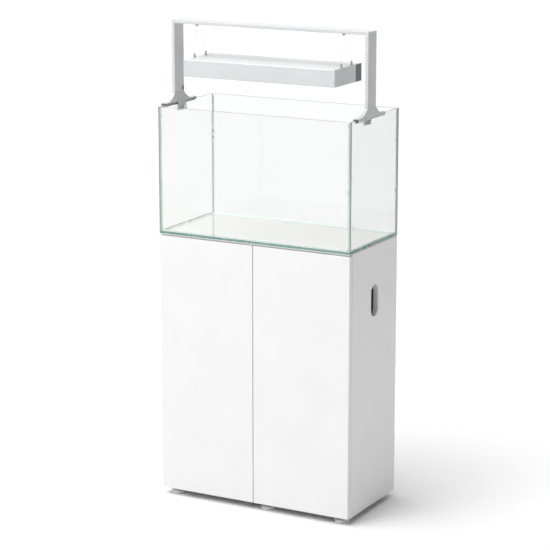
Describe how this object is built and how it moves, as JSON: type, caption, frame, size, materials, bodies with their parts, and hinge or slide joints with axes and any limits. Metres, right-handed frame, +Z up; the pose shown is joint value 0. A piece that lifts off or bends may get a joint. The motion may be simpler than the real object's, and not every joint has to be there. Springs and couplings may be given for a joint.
{
  "type": "aquarium on stand",
  "caption": "Rimless glass aquarium on a white two-door cabinet, with a flat lamp hung on wires from an aluminium arch that clips over the tank's rim.",
  "frame": {"origin": "on the floor, at the middle of the bounding box's underside", "axes": "+Z up, doors face -Y, +X to the right seen from the front"},
  "size_m": [0.614, 0.3, 1.367],
  "materials": {
    "white_board": "white melamine-faced particle board, smooth satin",
    "satin_aluminium": "satin anodised",
    "cast_aluminium": "fine blasted",
    "nickel_steel": "nickel plated",
    "grey_plastic": "moulded",
    "white_plastic": "moulded",
    "beech": "plain",
    "white_foam": "closed-cell foam sheet",
    "clear_glass": "polished float glass with ground edges",
    "clear_silicone": "clear cured silicone",
    "grey_rubber": "soft",
    "white_board_alloy": "white solder mask",
    "opal_plastic": "frosted",
    "led_yellow": "resin"
  },
  "bodies": {
    "cabinet": {"bottom_panel": "white_board", "top_panel": "white_board", "left_side_panel": "white_board", "right_side_panel": "white_board", "back_panel": "white_board", "shelf": "white_board", "shelf_pins": "nickel_steel", "cam_locks": "nickel_steel", "cam_bolts": "nickel_steel", "back_dowels": "beech", "foot_sockets": "grey_plastic", "left_hinge_arms": "nickel_steel", "right_hinge_arms": "nickel_steel", "left_latch_housing": "grey_plastic", "right_latch_housing": "grey_plastic", "levelling_mat": "white_foam", "tank_base": "clear_glass", "tank_front_pane": "clear_glass", "tank_back_pane": "clear_glass", "tank_left_pane": "clear_glass", "tank_right_pane": "clear_glass", "silicone_seams": "clear_silicone"},
    "left_door": {"left_door": "white_board", "left_hinge_cups": "nickel_steel", "left_strike_plate": "nickel_steel", "left_door_bumpers": "clear_silicone"},
    "right_door": {"right_door": "white_board", "right_hinge_cups": "nickel_steel", "right_strike_plate": "nickel_steel", "right_door_bumpers": "clear_silicone"},
    "left_plunger": {"left_latch_plunger": "grey_plastic"},
    "right_plunger": {"right_latch_plunger": "grey_plastic"},
    "stand": {"stand_top_bar": "satin_aluminium", "corner_screws": "nickel_steel", "left_stand_leg": "satin_aluminium", "right_stand_leg": "satin_aluminium", "wire_anchors": "satin_aluminium", "left_rim_foot": "cast_aluminium", "right_rim_foot": "cast_aluminium", "rim_liners": "grey_rubber", "cord_clip": "grey_rubber", "suspension_wires": "nickel_steel"},
    "left_clamp": {"left_clamp_screw": "grey_plastic"},
    "right_clamp": {"right_clamp_screw": "grey_plastic"},
    "lamp": {"lamp_housing": "satin_aluminium", "lamp_left_end_cap": "satin_aluminium", "lamp_right_end_cap": "satin_aluminium", "end_cap_screws": "nickel_steel", "led_board": "white_board_alloy", "lamp_diffuser": "opal_plastic", "led_chips": "led_yellow", "wire_grippers": "nickel_steel", "cord_gland": "grey_rubber"},
    "front_left_foot": {"front_left_foot": "white_plastic"},
    "front_middle_foot": {"front_middle_foot": "white_plastic"},
    "front_right_foot": {"front_right_foot": "white_plastic"},
    "rear_left_foot": {"rear_left_foot": "white_plastic"},
    "rear_middle_foot": {"rear_middle_foot": "white_plastic"},
    "rear_right_foot": {"rear_right_foot": "white_plastic"}
  },
  "joints": [
    {"name": "left_door_hinge", "type": "hinge", "parent": "cabinet", "child": "left_door", "pos_m": [-0.294, -0.145, 0.394], "axis": [0, 0, -1], "range_deg": [0, 105]},
    {"name": "right_door_hinge", "type": "hinge", "parent": "cabinet", "child": "right_door", "pos_m": [0.294, -0.145, 0.394], "axis": [0, 0, 1], "range_deg": [0, 105]},
    {"name": "left_plunger_slide", "type": "slide", "parent": "cabinet", "child": "left_plunger", "axis": [0, -1, 0], "range_m": [0, 0.012]},
    {"name": "right_plunger_slide", "type": "slide", "parent": "cabinet", "child": "right_plunger", "axis": [0, -1, 0], "range_m": [0, 0.012]},
    {"name": "stand_slide", "type": "slide", "parent": "cabinet", "child": "stand", "axis": [0, 1, 0], "range_m": [-0.015, 0.088]},
    {"name": "lamp_height", "type": "slide", "parent": "stand", "child": "lamp", "axis": [0, 0, 1], "range_m": [-0.07, 0.06], "deforming": ["suspension_wires"]},
    {"name": "left_clamp_turn", "type": "slide", "parent": "stand", "child": "left_clamp", "axis": [1, 0, 0], "range_m": [0, 0.004]},
    {"name": "right_clamp_turn", "type": "slide", "parent": "stand", "child": "right_clamp", "axis": [-1, 0, 0], "range_m": [0, 0.004]},
    {"name": "front_left_foot_thread", "type": "slide", "parent": "cabinet", "child": "front_left_foot", "axis": [0, 0, -1], "range_m": [0, 0.01]},
    {"name": "front_middle_foot_thread", "type": "slide", "parent": "cabinet", "child": "front_middle_foot", "axis": [0, 0, -1], "range_m": [0, 0.01]},
    {"name": "front_right_foot_thread", "type": "slide", "parent": "cabinet", "child": "front_right_foot", "axis": [0, 0, -1], "range_m": [0, 0.01]},
    {"name": "rear_left_foot_thread", "type": "slide", "parent": "cabinet", "child": "rear_left_foot", "axis": [0, 0, -1], "range_m": [0, 0.01]},
    {"name": "rear_middle_foot_thread", "type": "slide", "parent": "cabinet", "child": "rear_middle_foot", "axis": [0, 0, -1], "range_m": [0, 0.01]},
    {"name": "rear_right_foot_thread", "type": "slide", "parent": "cabinet", "child": "rear_right_foot", "axis": [0, 0, -1], "range_m": [0, 0.01]}
  ],
  "couplings": [
    {"joint": "left_plunger_slide", "follows": "left_door_hinge", "m_per_rad": 0.0065},
    {"joint": "right_plunger_slide", "follows": "right_door_hinge", "m_per_rad": 0.0065}
  ]
}
